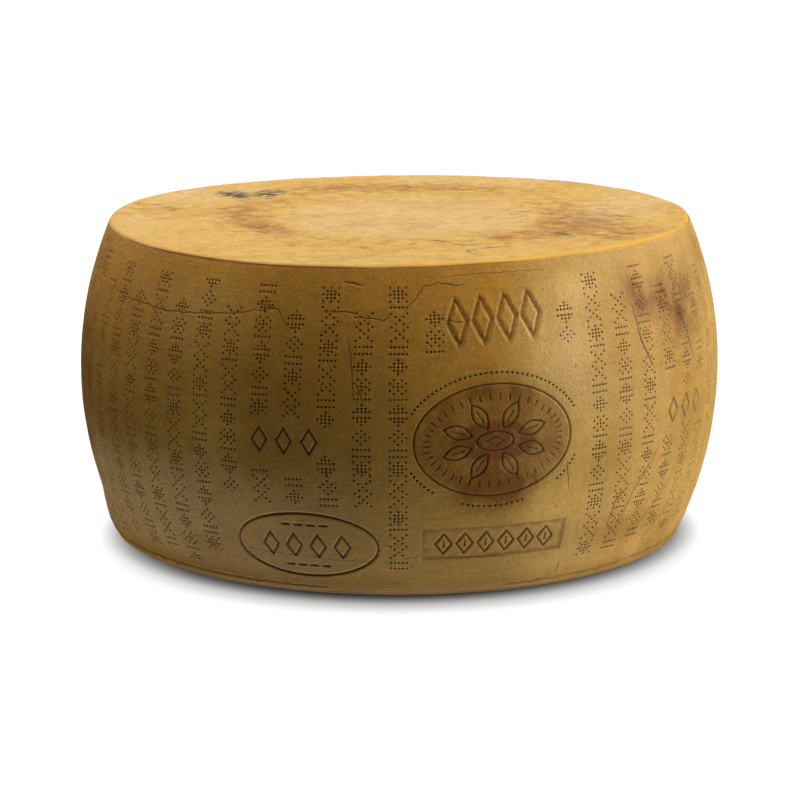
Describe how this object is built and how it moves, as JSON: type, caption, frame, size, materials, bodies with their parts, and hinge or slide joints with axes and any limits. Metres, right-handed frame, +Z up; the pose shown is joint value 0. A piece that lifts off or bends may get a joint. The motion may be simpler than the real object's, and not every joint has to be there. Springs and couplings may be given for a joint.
{
  "type": "cheese wheel",
  "caption": "Whole uncut wheel of hard cheese: a squat barrel with flat faces, a golden-brown rind and ornamental marks pressed into its side.",
  "frame": {"origin": "Middle of the flat foot that the wheel stands on, on the vertical line through the middle of the box round the wheel.", "axes": "+Z up along the wheel's axis, from the foot to the upper face. -Y is the side with the large oval mark just right of its middle, and +X is to the right of that side."},
  "size_m": [0.4496, 0.45, 0.2244],
  "materials": {
    "rind": "dry waxy rind, golden on the face and olive-brown on the side, semi-matt, with darker pressed marks"
  },
  "bodies": {
    "root": {"cheese_wheel": "rind"}
  },
  "joints": []
}
